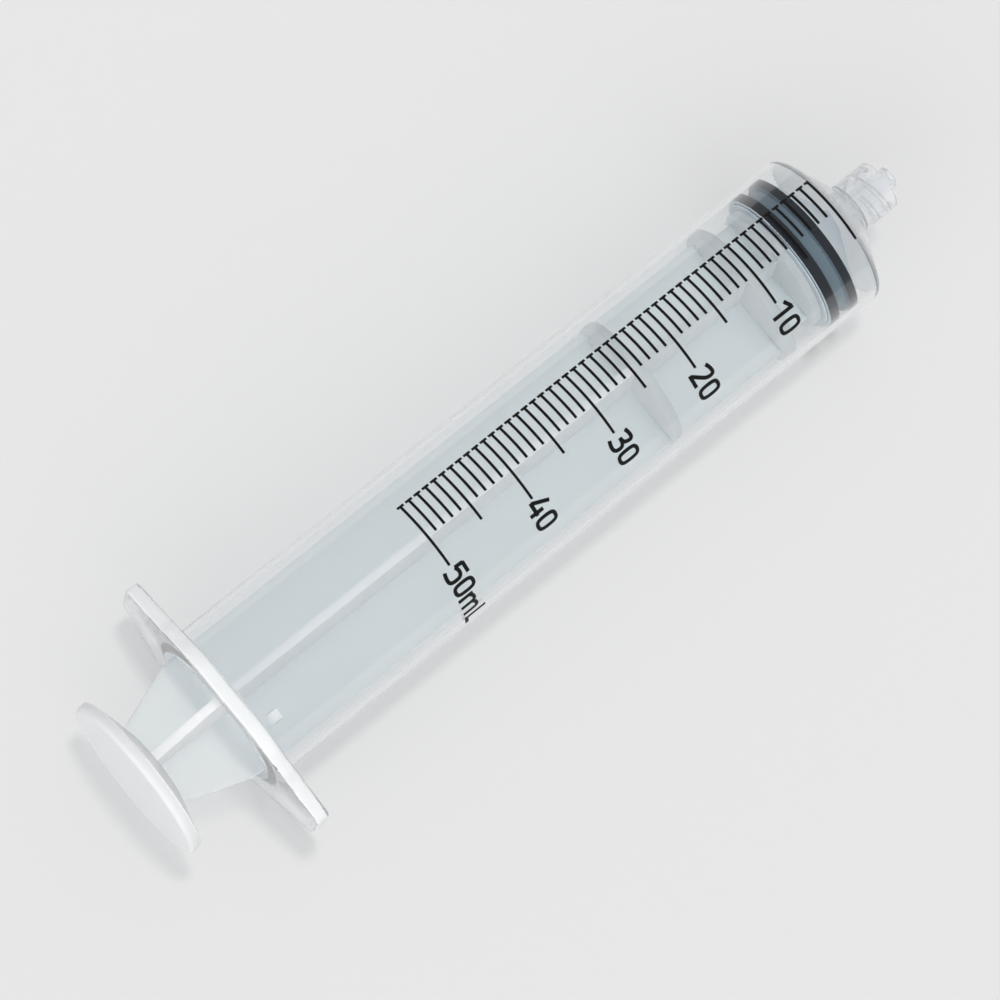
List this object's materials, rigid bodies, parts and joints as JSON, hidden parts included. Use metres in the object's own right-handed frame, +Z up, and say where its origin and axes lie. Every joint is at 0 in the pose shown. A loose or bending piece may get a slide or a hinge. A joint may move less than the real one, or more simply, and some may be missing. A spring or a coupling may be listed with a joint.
{
  "type": "luer lock syringe",
  "caption": "Disposable 50 mL syringe: clear graduated barrel with finger flange and lock tip, rubber stopper, and a finned plunger rod with thumb disc that slides and turns.",
  "frame": {"origin": "centre of the luer cone's mouth, on the syringe's axis", "axes": "+X along the axis and out of the nozzle; +Y and -Y along the two finger wings; +Z up, out of the side that carries the graduation"},
  "size_m": [0.1662, 0.05, 0.0324],
  "materials": {
    "clear_polypropylene": "clear, smooth moulding",
    "translucent_polypropylene": "milky, half-clear moulding, satin",
    "stopper_rubber": "smooth, lightly siliconised",
    "scale_ink": "printed ink"
  },
  "bodies": {
    "barrel": {"barrel": "clear_polypropylene", "scale_print": "scale_ink"},
    "stopper": {"stopper": "stopper_rubber"},
    "plunger_rod": {"plunger_rod": "translucent_polypropylene"}
  },
  "joints": [
    {"name": "plunger_slide", "type": "slide", "parent": "barrel", "child": "stopper", "axis": [1, 0, 0], "range_m": [-0.1065, 0.00387]},
    {"name": "rod_turn", "type": "hinge", "parent": "stopper", "child": "plunger_rod", "pos_m": [-0.0241, 0, 0], "axis": [1, 0, 0], "continuous": true}
  ]
}
